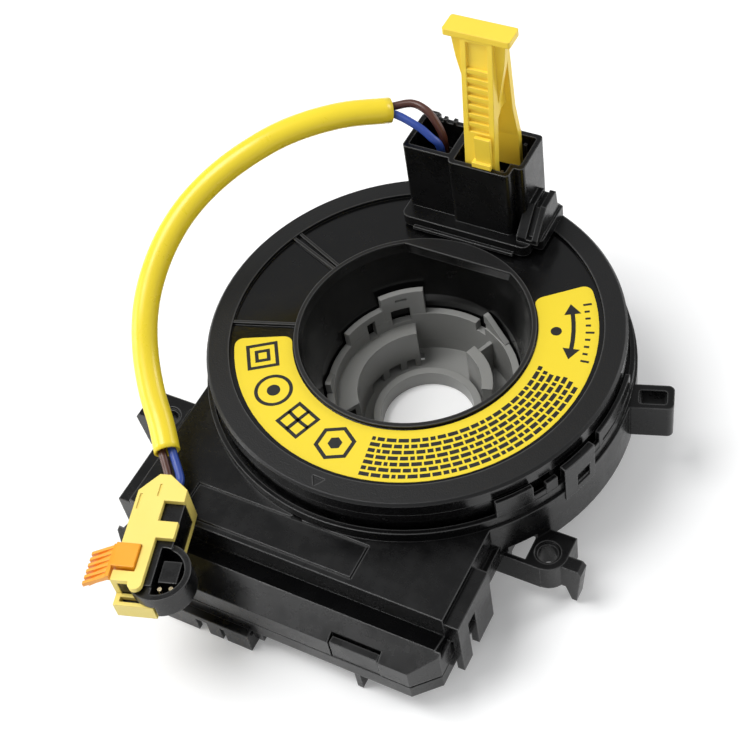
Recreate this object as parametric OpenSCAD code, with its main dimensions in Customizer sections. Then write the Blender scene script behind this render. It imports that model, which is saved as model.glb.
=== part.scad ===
// Steering clock spring: a rotor that turns with the steering wheel over a fixed stator,
// with a flat cable wound between them, a plug lead and a pull-out lock lever.
// The frame's origin is on the rotor's axis at the height of the lowest faces.
// The box points to -Y, the socket tower stands at +Y.

/* [Rotor] */
// Outer radius of the rotor's rim
rotor_r = 50; // [48:0.5:52]
// Height of the rim's top face
rim_z = 37; // [36:0.5:38]
// Inner radius of the flat rim, where the recess starts
recess_r = 44.5; // [43:0.5:46]
// Depth of the recessed track below the rim
recess_depth = 1; // [0.6:0.1:1.6]
// Widening of the rotor's bore from its sleeve up to its top edge
bore_step = 3.4; // [2.8:0.1:3.8]
// Distance of the bore's flat chord from the axis
chord_y = 23.8; // [22.5:0.1:25]
// Width of the bore's raised lip
lip_w = 1.1; // [0.8:0.1:1.6]
// Thickness of the rotor's disc
disc_t = 3; // [2.4:0.1:3.6]
// Height of the rim's outer lip
lip_h = 4; // [3.2:0.1:4.6]
// Step from the rim's lip in to the skirt below it
lip_step = 0.6; // [0.4:0.1:0.8]
// Distance from the rim's edge to the inside of the skirt
skirt_t = 1.6; // [1.4:0.1:2]
// Distance of the sleeve's inner face outside the hub
sleeve_play = 0.4; // [0.3:0.05:0.6]
// Thickness of the sleeve's wall
sleeve_t = 1.5; // [1.2:0.1:1.8]
// Width of one rib across the recess
rib_w = 0.8; // [0.6:0.1:1.2]

/* [Socket tower] */
// Height of the tower's base plate above the rim
plate_h = 3; // [2:0.5:4]
// Height of the tower above its base plate
tower_h = 19.7; // [17:0.1:22]
// Wall of the tower's sockets
tower_wall = 1.3; // [1:0.1:1.6]
// Left face of the small block
tower_left = -17.4; // [-18:0.1:-16.5]
// Face between the small block and the main block
tower_mid = -4.8; // [-5.5:0.1:-4]
// Right face of the main block
tower_right = 13.5; // [13:0.1:14]
// Distance of the main block's back face inside the rotor's edge
tower_inset = 1.6; // [1.2:0.1:2.2]
// Depth of the main block from front to back
tower_d = 15.7; // [15:0.1:16.5]
// Depth of the main socket
socket_depth = 16; // [14:0.5:17]
// Width across one terminal pin
pin_w = 0.8; // [0.6:0.1:1]
// Pins in one row of the main socket
tower_pin_count = 5; // [4:1:6]

/* [Lock lever] */
// Width of the lever's front bar
lever_w = 7.8; // [7:0.1:8.6]
// Thickness of the lever's front bar
lever_t = 2.2; // [1.8:0.1:2.6]
// Height of the lever above the tower
lever_h = 35.8; // [32:0.1:38]
// Width of the lever's head
head_w = 16.4; // [15:0.1:18]
// Depth of the lever's head
head_d = 4.6; // [4:0.1:5.5]
// Thickness of the lever's head
head_t = 1.6; // [1.2:0.1:2]
// Grip ridges on the lever's front
ridge_count = 7; // [5:1:8]

/* [Hub] */
// Outer radius of the cancelling hub
hub_r = 24; // [23.6:0.1:24.2]
// Thickness of the hub's wall
hub_t = 1.8; // [1.4:0.1:2.2]
// Height of the hub's rim at the back and right
hub_z = 16.2; // [15.6:0.1:17]
// Rise of the rim's high part at the left
rim_rise = 4.3; // [3.6:0.1:4.8]
// Rise of the tall tab above the hub's rim
tab_rise = 8.4; // [7.4:0.1:9]
// Radius of the steering shaft's bore
shaft_r = 11.8; // [11:0.1:12.4]
// Wall of the tube round the shaft's bore
tube_t = 2; // [1.6:0.1:2.4]
// Height of the tube round the shaft's bore
tube_h = 4.5; // [4:0.1:6]
// Height of the curved ledges inside the hub
ledge_h = 12.6; // [11.5:0.1:13.5]

/* [Stator] */
// Distance of the stator's ring wall outside the rotor's rim
ring_out = 2.2; // [1.8:0.1:2.6]
// Height of the stator's top face
stator_z = 25; // [24.5:0.1:25.4]
// Height of the ring wall's bottom face
ring_z = 11.5; // [10.5:0.1:12]
// Thickness of the stator's floor
floor_t = 1.5; // [1.2:0.1:1.8]
// Left face of the box
box_left = -45; // [-46:0.5:-44]
// Right face of the box
box_right = 36; // [35:0.5:37]
// Front edge of the box's top face
box_front = 62.3; // [61:0.1:63]
// Drop from the top face to the front ledge
step_drop = 6.5; // [5.5:0.1:7]
// Depth of the front ledge
ledge_d = 4.7; // [4:0.1:5.5]
// Depth of the sloping band in front of the ledge
band_d = 6.3; // [5.5:0.1:7]
// Drop of the sloping band
band_drop = 3; // [2.5:0.1:3.5]
// Height of the gap between the box and its lower cover
parting_z = 10.6; // [10:0.1:11]
// Thickness of the box's lower cover
cover_t = 4; // [3.5:0.1:4.4]
// Distance of the lower cover's back edge in front of the axis
cover_back = 52; // [50:0.5:54]
// Chamfer at the front corners of the box
corner_c = 5.3; // [4.5:0.1:6]
// Step of the lower tier beyond the box's sides
tier_out = 1.3; // [1:0.1:1.6]

/* [Mounting ears] */
// Shortfall of the ears' screw holes, sideways from the box's middle, on the ring's radius
ear_in = 0.8; // [0.2:0.1:1.4]
// Distance of the ears' screw holes in front of the axis
ear_y = 32; // [31:0.5:33]
// Height of the ears' top face
ear_z = 14; // [13.5:0.1:14.5]
// Thickness of the ears
ear_t = 8; // [6.5:0.1:8]
// Radius of the ears' screw holes
ear_hole_r = 2.3; // [2:0.1:2.5]
// Radius round the ears' screw holes
ear_r = 4.7; // [4.4:0.1:5.2]

/* [Flat cable] */
// Turns of the flat cable
cable_turns = 6; // [4:1:7]
// Width of the flat cable
cable_h = 12; // [10:0.5:13]
// Thickness of the flat cable
cable_t = 0.35; // [0.2:0.05:0.5]
// Width of the blocks that hold the cable's ends
block_w = 14; // [10:1:16]
// Depth of the inner block beyond the rotor's drum
block_d = 2.2; // [1.8:0.1:3]
// Height of the inner block's foot above the stator's floor
block_lift = 3; // [2:0.5:4]
// Thickness of the film under the cable
sheet_t = 0.4; // [0.3:0.05:0.5]

/* [Lead] */
// Radius of the lead's sleeve
sleeve_cord_r = 3.1; // [2.8:0.1:3.3]
// Radius of one wire
wire_r = 1; // [0.8:0.1:1.1]
// Length of the plug
plug_l = 28; // [26:0.5:29]
// Width of the plug
plug_w = 11.4; // [10.5:0.1:12]
// Height of the plug
plug_h = 10.2; // [9.8:0.1:10.6]

/* [Hidden] */
$fn = 96;
// Play between pieces that move past each other
play = 0.4;
// Overlap that joins the shapes of one piece
fuse = 0.05;
// Shadow gap between the box and its lower cover
parting_gap = 0.6;
recess_z = rim_z - recess_depth;
lip_z = rim_z - lip_h;
skirt_r = rotor_r - lip_step;
// Inner radius of the rotor's sleeve, and of its bore at the top edge
sleeve_r = hub_r + sleeve_play;
bore_r = sleeve_r + bore_step;
// Outer radius of the stator's ring wall, and the ears' screw holes from the box's middle
stator_r = rotor_r + ring_out;
ear_x = stator_r - ear_in;
disc_z = rim_z - disc_t;
well_r = rotor_r - skirt_t - play - 1.6;
drum_r = bore_r + lip_w + 0.6;
drum_t = 1.2;
floor_z = ring_z + floor_t;
sleeve_z = 6;
flange_z = sleeve_z - 2.1;
flange_r = sleeve_r + 3.6;
hub_floor_z = 2.2;
hub_in = hub_r - hub_t;
cone_z = 21;
skirt_z = stator_z + 0.5;
box_mid = (box_left + box_right) / 2;
plate_z = rim_z + plate_h;
tower_z = plate_z + tower_h;
tower_back = rotor_r - tower_inset;
tower_front = tower_back - tower_d;
notch_w = 2.4;
notch_d = 3.3;
small_front = tower_front + 1.4;
small_back = tower_back - 2.2;
plate_front = tower_front - 2.9;
gusset_x = tower_right + 4.5;

// Rectangle between two corners, with its own corners rounded
module round_rect(x0, y0, x1, y1, r) {
    translate([x0 + r, y0])
        square([x1 - x0 - 2 * r, y1 - y0]);
    translate([x0, y0 + r])
        square([x1 - x0, y1 - y0 - 2 * r]);
    for (x = [x0 + r, x1 - r])
        for (y = [y0 + r, y1 - r])
            translate([x, y])
                circle(r = r, $fn = 32);
}

// Outline of the main block, with a corner stepped in at the right
module main_outline(in, r) {
    round_rect(tower_mid + in, tower_front + in, tower_right - notch_w - in, tower_back - in, r);
    round_rect(tower_mid + in, tower_front + notch_d + in, tower_right - in, tower_back - in, r);
}

// Shape drawn from the side, as (Y, Z) points, between two X positions
module side_profile(x0, x1, pts) {
    translate([x0, 0, 0])
        rotate([90, 0, 90])
            linear_extrude(x1 - x0)
                polygon(pts);
}

// Part of a ring between two angles
module ring_sector(r_in, r_out, from, to, z, h) {
    rotate([0, 0, from])
        translate([0, 0, z])
            rotate_extrude(angle = to - from)
                translate([r_in, 0])
                    square([r_out - r_in, h]);
}

module rotor_disc() {
    color("#141416") {
        difference() {
            union() {
                rotate_extrude()
                    polygon([[bore_r, rim_z], [bore_r + lip_w, rim_z], [bore_r + lip_w, recess_z],
                        [recess_r, recess_z], [recess_r, rim_z], [rotor_r - 0.6, rim_z],
                        [rotor_r, rim_z - 0.6], [rotor_r, lip_z], [skirt_r, lip_z], [skirt_r, skirt_z],
                        [rotor_r - skirt_t, skirt_z],
                        [rotor_r - skirt_t, disc_z], [drum_r, disc_z], [drum_r, floor_z + play],
                        [drum_r - drum_t, floor_z + play], [drum_r - drum_t, cone_z + 10],
                        [sleeve_r + sleeve_t, cone_z - 0.3], [sleeve_r + sleeve_t, sleeve_z],
                        [sleeve_r, sleeve_z], [sleeve_r, cone_z], [bore_r - 0.4, disc_z]]);
                bore_chord();
                recess_ribs();
            }
            rim_mark();
        }
    }
}

// The flat segment that closes the bore on the tower's side
module bore_chord() {
    intersection() {
        translate([0, 0, disc_z])
            cylinder(r = bore_r + 0.2, h = disc_t);
        translate([-bore_r, chord_y, disc_z])
            cube([2 * bore_r, bore_r - chord_y, disc_t]);
    }
}

// Ribs across the recess: one single and one double
module recess_ribs() {
    for (a = [-162, 156.6, 159.2])
        rotate([0, 0, a])
            translate([bore_r + lip_w - fuse, -rib_w / 2, recess_z - fuse])
                cube([recess_r - bore_r - lip_w + 2 * fuse, rib_w, recess_depth * 0.8]);
}

// Index triangle sunk into the rim at the front
module rim_mark() {
    rotate([0, 0, -91])
        translate([rotor_r - 3.8, 0, rim_z - 0.4])
            linear_extrude(1)
                polygon([[0, -1.6], [2.5, 0], [0, 1.6]]);
}

module connector_tower() {
    color("#161618")
        difference() {
            union() {
                tower_plate();
                translate([0, 0, plate_z - fuse])
                    linear_extrude(tower_h + fuse)
                        main_outline(0, 1.2);
                translate([0, 0, plate_z - fuse])
                    linear_extrude(tower_h + fuse)
                        round_rect(tower_left, small_front, tower_mid + 1.2, small_back, 0.9);
                tower_latch();
                tower_gusset();
            }
            translate([0, 0, tower_z - socket_depth])
                linear_extrude(socket_depth + 1)
                    main_outline(tower_wall, 0.5);
            lead_pocket();
        }
    socket_keys();
}

// Base plate with a thin front step, and the key below it that fills the recess
module tower_plate() {
    intersection() {
        translate([0, 0, rim_z])
            linear_extrude(plate_h) {
                round_rect(tower_left - 0.6, plate_front, tower_right + 2.7, tower_back + 1, 2);
                round_rect(tower_right, tower_front + 0.6, gusset_x + 0.6, tower_back, 0.8);
            }
        translate([0, 0, rim_z])
            cylinder(r = rotor_r - 0.2, h = plate_h);
    }
    intersection() {
        translate([0, 0, recess_z])
            difference() {
                cylinder(r = recess_r - 0.1, h = recess_depth + fuse);
                translate([0, 0, -1])
                    cylinder(r = bore_r + lip_w + 0.1, h = recess_depth + 2);
            }
        translate([tower_left + 1, tower_front - 1, recess_z])
            cube([tower_right - tower_left, tower_back, recess_depth + fuse]);
    }
    translate([tower_left + 3, plate_front - 0.9, rim_z])
        cube([tower_right - tower_left - 4, 1, 0.8]);
}

// Grooved gusset at the main block's right
module tower_gusset() {
    difference() {
        side_profile(tower_right - 1, gusset_x, [[tower_front - 1, plate_z - fuse],
            [tower_front - 0.8, plate_z + 1.2], [tower_front + 5.4, plate_z + 7],
            [tower_front + 11.2, plate_z + 7], [tower_front + 11.8, plate_z + 2.6],
            [tower_front + 13.4, plate_z - fuse]]);
        side_profile(tower_right + 1.5, tower_right + 3, [[tower_front - 3, plate_z + 0.8],
            [tower_front + 0.6, plate_z + 1], [tower_front + 5.8, plate_z + 5.9],
            [tower_front + 13, plate_z + 5.9], [tower_front + 13, plate_z + 9],
            [tower_front - 3, plate_z + 9]]);
    }
}

// Snap hooks on the small block's back edge
module tower_latch() {
    translate([tower_left + 1.4, small_back - 1.6, tower_z - 2])
        cube([3.6, 1.6, 3.3]);
    translate([tower_left + 1.8, small_back - 0.9, tower_z + 1.3])
        rotate([0, 90, 0])
            cylinder(r = 0.9, h = 2.8, $fn = 32);
    for (x = [tower_left + 6, tower_left + 8.6])
        translate([x, small_back - 1.5, tower_z - 2])
            cube([0.9, 1.5, 2.9]);
}

// Polarising keys inside the main socket
module socket_keys() {
    for (x = [tower_mid + 3.2, tower_right - 4.6])
        translate([x, tower_back - tower_wall - 0.7, tower_z - socket_depth])
            cube([0.9, 0.7 + fuse, socket_depth - 2.5]);
    translate([tower_mid + tower_wall - fuse, tower_front + 9, tower_z - socket_depth])
        cube([0.8, 0.9, socket_depth - 4]);
}

// Pocket of the small block that the lead's wires go into
module lead_pocket() {
    translate([0, 0, tower_z - 8])
        linear_extrude(9)
            round_rect(tower_left + tower_wall, small_front + tower_wall, tower_mid - 0.6,
                small_back - tower_wall, 0.4);
}

module tower_pins() {
    color("#c9a25a")
        for (row = [0, 1])
            for (i = [0:tower_pin_count - 1])
                translate([tower_mid + 3.6 + i * 2.5, tower_front + 7.6 + row * 2.6, tower_z - socket_depth])
                    cube([pin_w, pin_w, 6]);
}

module label_film() {
    color("#f4d916")
        ring_sector(bore_r + lip_w + 0.4, recess_r - 1.2, -155.5, 40, recess_z, 0.2);
}

module cancel_hub() {
    color("#8f9092")
        difference() {
            union() {
                rotate_extrude()
                    polygon([[hub_in, sleeve_z], [hub_r, sleeve_z], [hub_r, hub_z], [hub_in, hub_z]]);
                ring_sector(hub_in + 0.1, hub_r - 0.1, 142, 171, hub_z - 1, rim_rise + 1);
                ring_sector(hub_in + 0.15, hub_r - 0.15, 114, 142.5, hub_z - 1, tab_rise + 1);
                hub_fin(62, 4.2, 4.4);
                hub_fin(-157, 3, 3.4);
                left_ledge();
                right_ledge();
            }
            hub_window(152, 2.4, hub_floor_z + 10.6, 5.6);
            hub_window(130.5, 5, hub_floor_z + 11.9, 4.9);
            hub_window(129, 3, hub_z + 5.6, 0.8);
            for (a = [-120, -75, -30, 75])
                hub_window(a, 3, hub_z - 2.6, 4);
            for (slot = [[127, 8], [141, 12], [160, 15]])
                ring_sector(hub_in - 8, hub_in - 2, slot[0], slot[0] + slot[1], 0, hub_floor_z + 3);
        }
}

// Window through the hub's wall at one angle
module hub_window(a, w, z, h) {
    rotate([0, 0, a])
        translate([hub_in - 1, -w / 2, z])
            cube([hub_t + 2, w, h]);
}

// Pointed snap fin on the hub's rim
module hub_fin(a, half, rise) {
    rotate([0, 0, a])
        side_profile(hub_in + 0.2, hub_r - 0.2, [[-half, hub_z - 3], [half, hub_z - 3],
            [half, hub_z + rise], [half - 1, hub_z + rise], [-half, hub_z + 0.2]]);
}

// Sloping ledge on its own inner wall, at the left
module left_ledge() {
    rotate([0, 0, 122])
        rotate_extrude(angle = 100)
            polygon([[hub_in - 5.7, hub_floor_z], [hub_in - 5.7, hub_floor_z + ledge_h + 0.4],
                [hub_in + 0.5, hub_floor_z + ledge_h - 2.2], [hub_in + 0.5, hub_floor_z + ledge_h - 3.5],
                [hub_in - 4.4, hub_floor_z + ledge_h - 1.4], [hub_in - 4.4, hub_floor_z]]);
}

// Curved wall on two ribs, at the right
module right_ledge() {
    ring_sector(shaft_r + tube_t + 0.6, hub_in - 5, 17, 68, hub_floor_z, ledge_h);
    for (a = [17, 65]) {
        ring_sector(hub_in - 5.2, hub_in - 0.3, a, a + 3, hub_floor_z, ledge_h - 2.5);
        ring_sector(hub_in - 0.5, hub_in + 0.5, a, a + 3, sleeve_z + 0.1, ledge_h - 2.6 + hub_floor_z - sleeve_z);
    }
}

// Lower ring of the hub: floor, shaft tube and the flange that snaps under the sleeve
module hub_base() {
    color("#858688")
        difference() {
            rotate_extrude()
                polygon([[shaft_r, 0], [hub_r - 1, 0], [hub_r - 1, flange_z], [flange_r, flange_z],
                    [flange_r, sleeve_z], [hub_in, sleeve_z], [hub_in, hub_floor_z],
                    [shaft_r + tube_t, hub_floor_z], [shaft_r + tube_t, tube_h], [shaft_r, tube_h]]);
            ring_sector(shaft_r + 6.5, shaft_r + 8.9, 119, 124, -1, 5);
        }
}

// Block on the rotor's drum that holds the flat cable's inner end
module inner_lead_block() {
    color("#1b1b1d")
        difference() {
            translate([-block_w / 2, 0, floor_z + block_lift])
                cube([block_w, drum_r + block_d, disc_z - floor_z - block_lift]);
            translate([0, 0, floor_z])
                cylinder(r = drum_r, h = disc_z);
        }
}

module lock_lever() {
    color("#f4d84a")
        difference() {
            union() {
                side_profile(bar_x, bar_x + lever_w, [[bar_y, tower_z - 13], [bar_y + lever_t, tower_z - 14],
                    [bar_y + lever_t, tower_z], [bar_y + lean + lever_t, lever_top - fuse],
                    [bar_y + lean, lever_top - fuse], [bar_y, tower_z]]);
                side_profile(bar_x + 2.2, bar_x + lever_w + 1.6, [[leg_y - 1.6, tower_z - 8],
                    [leg_y, tower_z - 8], [leg_y, tower_z + 2], [leg_y - 2, tower_z + 12],
                    [head_back, lever_top - fuse], [head_back - 1.6, lever_top - fuse],
                    [leg_y - 3.6, tower_z + 12], [leg_y - 1.6, tower_z + 2]]);
                lever_web();
                lever_head();
                lever_foot();
            }
            lever_channel();
        }
    lever_ridges();
}

// Side web between the lever's bar and its rear leg, with an arched lower edge
module lever_web() {
    side_profile(bar_x + lever_w - 1.3, bar_x + lever_w - 0.1, [[bar_y + lean / 2, tower_z + 12],
        [bar_y + lean / 2 + 2, tower_z + 12.6], [bar_y + lean / 2 + 4, tower_z + 14.2],
        [bar_y + 8, tower_z + 14], [leg_y - 2.8, tower_z + 11.5], [head_back - 0.8, lever_top - 1],
        [bar_y + lean + 1, lever_top - 1]]);
}

// T-shaped head with two tapered wings below it
module lever_head() {
    translate([0, 0, lever_top - head_t])
        linear_extrude(head_t)
            round_rect(lever_x - head_w / 2, bar_y + lean - 0.4, lever_x + head_w / 2, head_back + 0.4, 0.6);
    translate([0, bar_y + lean + 2.4, 0])
        rotate([90, 0, 0])
            linear_extrude(1.6)
                polygon([[lever_x - head_w / 2 + 1.5, lever_top - head_t + fuse],
                    [lever_x - head_w / 2 + 2.2, lever_top - 8], [bar_x + 0.4, lever_top - 21],
                    [bar_x + lever_w - 0.4, lever_top - 21], [lever_x + head_w / 2 - 2.2, lever_top - 8],
                    [lever_x + head_w / 2 - 1.5, lever_top - head_t + fuse]]);
}

// Tongue and foot at the bar's lower front, above the socket's edge
module lever_foot() {
    translate([bar_x + 3.2, bar_y - 0.7, tower_z + 0.6])
        cube([4, 1, 8.4]);
    translate([bar_x + 2.4, bar_y - 1.4, tower_z + 0.3])
        cube([4.8, 1.7, 1.4]);
}

// Front face of the lever's leaning bar at one height
function bar_front(z) = bar_y + lean * max(0, z - tower_z) / lever_h;

// Channel between the bar's two rails
module lever_channel() {
    low = tower_z + 9.2;
    high = lever_top - head_t - 0.8;
    side_profile(bar_x + 1.3, bar_x + lever_w - 1.3, [[bar_front(low) - 1, low],
        [bar_front(low) + 0.8, low], [bar_front(high) + 0.8, high], [bar_front(high) - 1, high]]);
}

// Grip ridges in the channel
module lever_ridges() {
    pitch = 17 / ridge_count;
    for (i = [0:ridge_count - 1]) {
        z = tower_z + 10.6 + i * pitch;
        translate([bar_x + 1.2, bar_front(z) + 0.15, z])
            cube([lever_w - 2.4, 1, pitch * 0.5]);
    }
}

lever_x = 3.3;
bar_x = lever_x - lever_w / 2;
bar_y = tower_front + tower_wall + 0.35;
leg_y = tower_back - tower_wall - 1.1;
lean = 3.7;
head_back = bar_y + lean + head_d;
lever_top = tower_z + lever_h;

// Vector helpers for the lead
function unit(v) = v / norm(v);
function side_of(t) = unit(cross(t, [0, 0, 1]));
function up_of(t) = cross(side_of(t), t);
// Direction of a route at one of its points
function heading(p, i) = i == 0 ? unit(p[1] - p[0])
    : i == len(p) - 1 ? unit(p[i] - p[i - 1])
    : unit(unit(p[i] - p[i - 1]) + unit(p[i + 1] - p[i]));

// Round tube swept along a route as one solid
module swept_tube(route, r, sides) {
    last = len(route) - 1;
    rings = [for (i = [0:last])
        let (t = heading(route, i))
        for (k = [0:sides - 1])
            route[i] + r * cos(k * 360 / sides) * side_of(t) + r * sin(k * 360 / sides) * up_of(t)];
    walls = [for (i = [0:last - 1])
        for (k = [0:sides - 1])
            [i * sides + k, i * sides + (k + 1) % sides, (i + 1) * sides + (k + 1) % sides, (i + 1) * sides + k]];
    first_cap = [for (k = [0:sides - 1]) sides - 1 - k];
    last_cap = [for (k = [0:sides - 1]) last * sides + k];
    polyhedron(points = rings, faces = concat([first_cap], walls, [last_cap]), convexity = 4);
}

// Route of the lead's sleeve, from the tower round to the plug
LEAD_ROUTE = [[-22.5, 39.3, 65], [-31, 31, 68], [-39, 22, 69], [-45.2, 13.8, 68], [-51.2, 5.4, 65],
    [-55.6, -2.7, 61], [-57.6, -11, 57], [-57.8, -19.3, 52.5], [-56.2, -27.1, 48],
    [-53, -34.2, 43], [-48.3, -40.8, 38.6], [-43.1, -46.3, 35.4], [-38.8, -51.4, 33.4]];
lead_start = heading(LEAD_ROUTE, 0);
lead_end = heading(LEAD_ROUTE, len(LEAD_ROUTE) - 1);
start_point = LEAD_ROUTE[0];
end_point = LEAD_ROUTE[len(LEAD_ROUTE) - 1];
wire_apart = wire_r + 0.15;

// A wire's first points, square on the sleeve's end so that their faces meet
function top_stub(s) = let (p = start_point + s * wire_apart * side_of(lead_start))
    [p, p - 2.5 * lead_start];
function end_stub(s) = let (p = end_point + s * wire_apart * side_of(lead_end))
    [p, p + 2 * lead_end];

module lead_sleeve() {
    color("#f2df2b")
        swept_tube(LEAD_ROUTE, sleeve_cord_r, 12);
}

module blue_wire_top() {
    color("#2e4aa8")
        swept_tube(concat(top_stub(-1), [[-15, 38.4, 63], [-11.4, 38, 60.9], [-9.4, 38.2, 58],
            [-9.2, 38.4, tower_z - 8]]), wire_r, 8);
}

module brown_wire_top() {
    color("#5a3226")
        swept_tube(concat(top_stub(1), [[-18.6, 43, 65.2], [-14.4, 42.6, 64.6], [-11.4, 41.6, 62.2],
            [-9.6, 41, 58.4],
            [-9.4, 41, tower_z - 8]]), wire_r, 8);
}

// Place of the plug: its entry face's middle, and its heading
plug_at = [-33.9, -57.9, stator_z + 0.4];
plug_turn = -73;
module at_plug() {
    translate(plug_at)
        rotate([0, 0, plug_turn])
            children();
}
// A point given in the plug's own axes
function from_plug(p) = plug_at + [p[0] * cos(plug_turn) - p[1] * sin(plug_turn),
    p[0] * sin(plug_turn) + p[1] * cos(plug_turn), p[2]];

module blue_wire_end() {
    color("#2e4aa8")
        swept_tube(concat(end_stub(-1), [from_plug([-2, 1.4, 6]), from_plug([0, 1.4, 6])]), wire_r, 8);
}

module brown_wire_end() {
    color("#5a3226")
        swept_tube(concat(end_stub(1), [from_plug([-2, -1.4, 6]), from_plug([0, -1.4, 6])]), wire_r, 8);
}

// Wall of the plug's shell round its dark core, and the lock with its comb
core_t = 1.3;
lock_x = 19;
lock_l = 5.9;
comb_y = -plug_w / 2 - 0.4;
comb_w = 8.2;
comb_l = 7.4;
comb_drop = 5.2;
fin_w = 0.75;
fin_count = 6;
// Round nose beside the shell's strip, and the floor of its pit
nose_x = 16.5;
nose_r = 7.2;
nose_mid = nose_x + nose_r + 0.1;
nose_y = 3.8;
strip_y = 1.6;
pit_z = 2.8;
// Height of the frame at the plug's open end
frame_h = 4.6;
module plug_shell() {
    color("#f4dc4e")
        at_plug()
            union() {
                difference() {
                    linear_extrude(plug_h)
                        polygon([[0, -1.8], [0, 0.8], [3.7, plug_w / 2 - 0.1], [7.4, plug_w / 2],
                            [plug_l, plug_w / 2], [plug_l, -plug_w / 2], [4.7, -plug_w / 2]]);
                    translate([6.5, -plug_w / 2 + core_t, core_t])
                        cube([plug_l, plug_w, plug_h - 2 * core_t]);
                    translate([6.9, 1, core_t])
                        cube([5.3, plug_w / 2, plug_h]);
                    translate([nose_x, strip_y, -1])
                        cube([plug_l, plug_w / 2, plug_h + 2]);
                    translate([lock_x - 0.4, -plug_w / 2 - 1, plug_h - core_t])
                        cube([lock_l + 0.9, plug_w / 2 + 0.2, core_t + 1]);
                    translate([5.5, -plug_w / 2 + 0.7, plug_h - 0.3])
                        cube([4, 0.6, 1]);
                    translate([2.6, -1, plug_h - 0.3])
                        cube([3.2, 0.5, 1]);
                }
                translate([plug_l + 0.2, strip_y - 1.6, plug_h - core_t])
                    cylinder(r = 1.6, h = core_t, $fn = 48);
                plug_frame();
            }
}

// Frame at the plug's open end, with a slot between its two rails
module plug_frame() {
    difference() {
        translate([plug_l - fuse, -plug_w / 2, 0])
            cube([3, plug_w - 2.2, frame_h]);
        translate([plug_l + 0.8, -plug_w / 2 + 1.2, -1])
            cube([1.2, plug_w - 4.6, 7]);
        translate([plug_l - 1, -plug_w / 2 + 1.2, core_t])
            cube([2.4, plug_w - 4.6, 2]);
    }
}

module plug_core() {
    color("#19191b")
        at_plug()
            difference() {
                union() {
                    translate([6.6, -plug_w / 2 + core_t + 0.1, core_t + 0.1])
                        cube([plug_l - 6.8, plug_w - core_t - 0.3, plug_h - 2 * core_t - 0.2]);
                    plug_nose();
                    translate([plug_l - 1, -plug_w / 2 + 1.4, core_t + 0.1])
                        cube([2.8, plug_w - 5, 1.7]);
                }
                nose_pit();
            }
}

// Round nose of the plug's core, cut back clear of the frame at the plug's open end
module plug_nose() {
    difference() {
        translate([nose_mid, nose_y, core_t + 0.1])
            cylinder(r = nose_r, h = plug_h - 2 * core_t - 0.9);
        translate([plug_l - 0.2, nose_y - nose_r - 1, -1])
            cube([nose_r, nose_r + 1.3, frame_h + 1.4]);
    }
}

// Pit in the plug's round nose, flat on one side, round a square post
module nose_pit() {
    difference() {
        intersection() {
            translate([nose_mid, nose_y, pit_z])
                cylinder(r = nose_r - 1.5, h = plug_h);
            translate([nose_x, nose_y - 0.6, 0])
                cube([2 * nose_r, nose_r, plug_h + 1]);
        }
        translate([nose_x + 3.9, nose_y + 0.1, 0])
            cube([5.4, 4.2, plug_h - core_t - 1.8]);
    }
}

module plug_contacts() {
    color("#d0a860")
        at_plug()
            for (p = [[nose_x + 10.8, nose_y + 0.8], [nose_x + 10.4, nose_y + 3.3]])
                translate([p[0], p[1], pit_z])
                    cylinder(r = 0.5, h = 4, $fn = 24);
}

module plug_lock() {
    color("#f08030")
        at_plug() {
            translate([lock_x, comb_y - 0.2, plug_h - core_t + 0.2])
                cube([lock_l, -comb_y - 0.8, 2]);
            translate([lock_x + 0.3, comb_y - 0.8, plug_h - core_t + 0.2])
                cube([comb_w, 0.8, 1.7]);
            side_profile(lock_x + 0.4, lock_x + comb_w + 0.2, [[comb_y - 0.6, plug_h - 0.7],
                [comb_y - 0.6, plug_h], [comb_y - comb_l + 1.5, plug_h - comb_drop + 1.1],
                [comb_y - comb_l + 1.5, plug_h - comb_drop + 0.4]]);
            for (i = [0:fin_count - 1])
                comb_fin(lock_x + 0.3 + i * (comb_w - fin_w) / (fin_count - 1));
        }
}

// One sloping fin of the lock's comb
module comb_fin(x) {
    side_profile(x, x + fin_w, [[comb_y, plug_h - 0.7], [comb_y, plug_h + 0.6],
        [comb_y - comb_l, plug_h - comb_drop + 1.2], [comb_y - comb_l, plug_h - comb_drop]]);
}

ledge_z = stator_z - step_drop;
band_z = ledge_z + 1.5;
front_z = band_z - band_drop;
front_y = -box_front - ledge_d - band_d;
tier_top = front_z;
window_x = 12.4;
window_w = 12.4;
collar_r = rotor_r + 1.6;
// Front edge of the flat that closes the shadow gap, behind the box's corners
seam_y = front_y + corner_c + 2.6;

module box_body() {
    side_profile(box_left, box_right, [[-20, stator_z], [-box_front, stator_z], [-box_front, ledge_z],
        [-box_front - ledge_d, band_z], [-box_front - ledge_d, parting_z + parting_gap], [-20, parting_z + parting_gap]]);
    difference() {
        side_profile(box_left - tier_out, box_right + tier_out, [[-30, tier_top], [-box_front - ledge_d, tier_top],
            [-box_front - ledge_d, band_z], [front_y, front_z], [front_y, parting_z + parting_gap],
            [-30, parting_z + parting_gap]]);
        corner_cuts();
    }
}

// Wedges that chamfer the box's front corners
module corner_cuts() {
    for (side = [[box_right + tier_out, 1], [box_left - tier_out, -1]])
        translate([side[0], front_y, -1])
            linear_extrude(stator_z)
                polygon([[-side[1] * corner_c, -1], [-side[1] * corner_c, 0], [0, corner_c],
                    [side[1], corner_c], [side[1], -1]]);
}

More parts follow.
